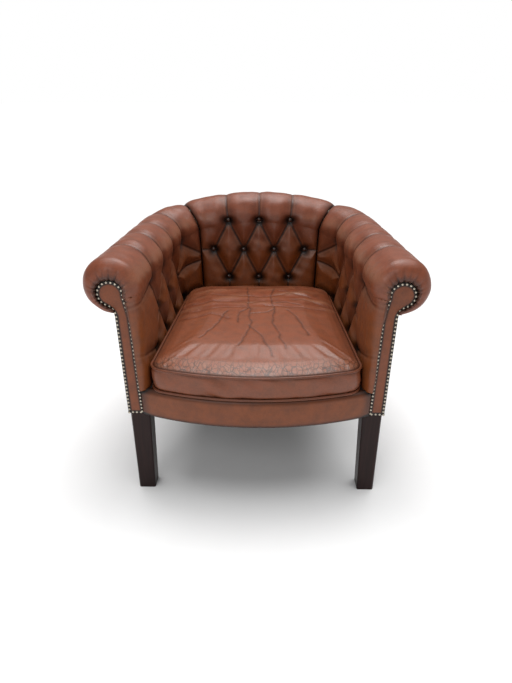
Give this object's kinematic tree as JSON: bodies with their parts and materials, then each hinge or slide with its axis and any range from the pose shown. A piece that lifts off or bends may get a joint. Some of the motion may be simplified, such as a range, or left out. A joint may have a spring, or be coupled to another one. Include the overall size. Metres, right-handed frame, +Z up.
{
  "type": "armchair",
  "caption": "Buttoned leather tub armchair with scrolled arms and back, studded front facings, square tapered wooden legs and a loose piped seat cushion.",
  "frame": {"origin": "on the floor under the middle of the chair", "axes": "+Z up, the sitter faces -Y, +X to the right of a viewer who faces the chair"},
  "size_m": [0.8146, 0.7592, 0.7058],
  "materials": {
    "beech": "planed, unfinished",
    "mahogany": "dark polish, satin",
    "glue_block_wood": "sawn, unfinished",
    "screw_steel": "plain",
    "webbing": "woven jute",
    "hessian": "coarse woven",
    "deck_cloth": "black platform cloth",
    "dust_cloth": "black non-woven cloth",
    "stuffing": "carded fibre",
    "foam": "open-cell cushion foam",
    "outside_leather": "hand-rubbed, satin",
    "buttoned_leather": "hand-rubbed antique, satin",
    "facing_leather": "hand-rubbed, satin",
    "cushion_leather": "hand-rubbed antique, creased",
    "piping_leather": "dark rubbed cord",
    "border_leather": "hand-rubbed, satin",
    "button_leather": "dark, polished",
    "antique_nail": "antiqued, worn bright on top"
  },
  "bodies": {
    "chair": {"side_seat_rail_left": "beech", "side_seat_rail_right": "beech", "corner_seat_rail_left": "beech", "corner_seat_rail_right": "beech", "arm_post_left": "beech", "arm_post_right": "beech", "arm_top_rail_left": "beech", "arm_top_rail_right": "beech", "corner_top_rail_left": "beech", "corner_top_rail_right": "beech", "arm_tack_rail_left": "beech", "arm_tack_rail_right": "beech", "corner_tack_rail_left": "beech", "corner_tack_rail_right": "beech", "back_post_left": "beech", "back_post_right": "beech", "back_seat_rail": "beech", "front_seat_rail": "beech", "back_top_rail": "beech", "back_tack_rail": "beech", "frame_dowels": "beech", "front_leg_left": "mahogany", "front_leg_right": "mahogany", "back_leg_left": "mahogany", "back_leg_right": "mahogany", "front_corner_blocks": "glue_block_wood", "back_corner_blocks": "glue_block_wood", "corner_block_screws": "screw_steel", "seat_webbing_across": "webbing", "seat_webbing_along": "webbing", "seat_hessian": "hessian", "back_hessian": "hessian", "arm_hessian_left": "hessian", "arm_hessian_right": "hessian", "seat_deck_cover": "deck_cloth", "bottom_cloth": "dust_cloth", "seat_pad": "stuffing", "back_stuffing": "stuffing", "arm_stuffing_left": "stuffing", "arm_stuffing_right": "stuffing", "outside_back_cover": "outside_leather", "outside_arm_cover_left": "outside_leather", "outside_arm_cover_right": "outside_leather", "inside_back_cover": "buttoned_leather", "inside_arm_cover_left": "buttoned_leather", "inside_arm_cover_right": "buttoned_leather", "front_facing_left": "facing_leather", "front_facing_right": "facing_leather", "front_border_cover": "border_leather", "back_buttons": "button_leather", "arm_buttons_left": "button_leather", "arm_buttons_right": "button_leather", "facing_nails_left": "antique_nail", "facing_nails_right": "antique_nail"},
    "seat_cushion": {"cushion_core": "foam", "cushion_cover": "cushion_leather", "cushion_piping_bottom": "piping_leather", "cushion_piping_top": "piping_leather"}
  },
  "joints": [
    {"name": "cushion_lift_out", "type": "slide", "parent": "chair", "child": "seat_cushion", "axis": [0, 0, 1], "range_m": [0, 0.4]}
  ]
}
